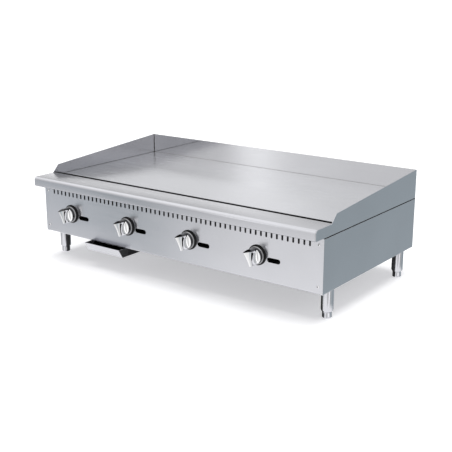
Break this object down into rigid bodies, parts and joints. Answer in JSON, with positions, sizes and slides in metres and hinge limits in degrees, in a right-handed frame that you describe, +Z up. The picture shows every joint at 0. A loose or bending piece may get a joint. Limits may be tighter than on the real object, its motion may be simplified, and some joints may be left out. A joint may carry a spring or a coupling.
{
  "type": "countertop gas griddle",
  "caption": "Countertop gas griddle: thick flat steel plate in three splashes, front ledge and grease trough, knobs, lighting slots, sliding grease drawer and screw feet.",
  "frame": {"origin": "on the floor, under the middle of the object's bounding box", "axes": "+X to the user's right as they face the front, +Y from the front ledge to the rear, +Z up"},
  "size_m": [1.219, 0.712, 0.381],
  "materials": {
    "stainless": "satin brushed sheet",
    "griddle_steel": "ground and polished plate",
    "galvanised": "zinc coated sheet",
    "burner_steel": "aluminised tube, heat dulled",
    "brass": "machined",
    "black_pipe": "black lacquered pipe",
    "black_bezel": "satin black",
    "chrome": "bright plated"
  },
  "bodies": {
    "root": {"griddle_plate": "griddle_steel", "splash_side_left": "stainless", "splash_side_right": "stainless", "splash_rear": "stainless", "front_ledge": "stainless", "grease_trough": "stainless", "grease_chute": "galvanised", "front_panel": "stainless", "side_panel_left": "stainless", "side_panel_right": "stainless", "rear_panel": "stainless", "bottom_pan": "galvanised", "base_rail_left": "galvanised", "base_rail_right": "galvanised", "burner_rail_front": "galvanised", "burner_rail_rear": "galvanised", "front_baffle": "galvanised", "burner_1": "burner_steel", "burner_2": "burner_steel", "burner_3": "burner_steel", "burner_4": "burner_steel", "pilot_1": "brass", "pilot_2": "brass", "pilot_3": "brass", "pilot_4": "brass", "gas_manifold": "black_pipe", "supply_pipe": "black_pipe", "pressure_regulator": "galvanised", "inlet_pipe": "black_pipe", "gas_valve_1": "brass", "gas_valve_2": "brass", "gas_valve_3": "brass", "gas_valve_4": "brass", "knob_bezel_1": "black_bezel", "knob_bezel_2": "black_bezel", "knob_bezel_3": "black_bezel", "knob_bezel_4": "black_bezel", "drawer_rail_left": "galvanised", "drawer_rail_right": "galvanised", "leg_front_left": "stainless", "leg_front_right": "stainless", "leg_rear_left": "stainless", "leg_rear_right": "stainless", "panel_screw_1": "stainless", "panel_screw_2": "stainless", "panel_screw_3": "stainless", "panel_screw_4": "stainless"},
    "drawer": {"grease_drawer": "stainless"},
    "knob_1": {"knob_1": "chrome", "valve_stem_1": "brass"},
    "knob_2": {"knob_2": "chrome", "valve_stem_2": "brass"},
    "knob_3": {"knob_3": "chrome", "valve_stem_3": "brass"},
    "knob_4": {"knob_4": "chrome", "valve_stem_4": "brass"},
    "foot_front_left": {"foot_front_left": "chrome"},
    "foot_front_right": {"foot_front_right": "chrome"},
    "foot_rear_left": {"foot_rear_left": "chrome"},
    "foot_rear_right": {"foot_rear_right": "chrome"}
  },
  "joints": [
    {"name": "drawer_slide", "type": "slide", "parent": "root", "child": "drawer", "axis": [0, -1, 0], "range_m": [0, 0.19]},
    {"name": "knob_1_turn", "type": "hinge", "parent": "root", "child": "knob_1", "pos_m": [-0.4716, -0.306, 0.182], "axis": [0, -1, 0], "range_deg": [0, 90]},
    {"name": "knob_2_turn", "type": "hinge", "parent": "root", "child": "knob_2", "pos_m": [-0.1922, -0.306, 0.182], "axis": [0, -1, 0], "range_deg": [0, 90]},
    {"name": "knob_3_turn", "type": "hinge", "parent": "root", "child": "knob_3", "pos_m": [0.0872, -0.306, 0.182], "axis": [0, -1, 0], "range_deg": [0, 90]},
    {"name": "knob_4_turn", "type": "hinge", "parent": "root", "child": "knob_4", "pos_m": [0.3666, -0.306, 0.182], "axis": [0, -1, 0], "range_deg": [0, 90]},
    {"name": "foot_front_left_screw", "type": "slide", "parent": "root", "child": "foot_front_left", "axis": [0, 0, -1], "range_m": [0, 0.025]},
    {"name": "foot_front_right_screw", "type": "slide", "parent": "root", "child": "foot_front_right", "axis": [0, 0, -1], "range_m": [0, 0.025]},
    {"name": "foot_rear_left_screw", "type": "slide", "parent": "root", "child": "foot_rear_left", "axis": [0, 0, -1], "range_m": [0, 0.025]},
    {"name": "foot_rear_right_screw", "type": "slide", "parent": "root", "child": "foot_rear_right", "axis": [0, 0, -1], "range_m": [0, 0.025]}
  ]
}
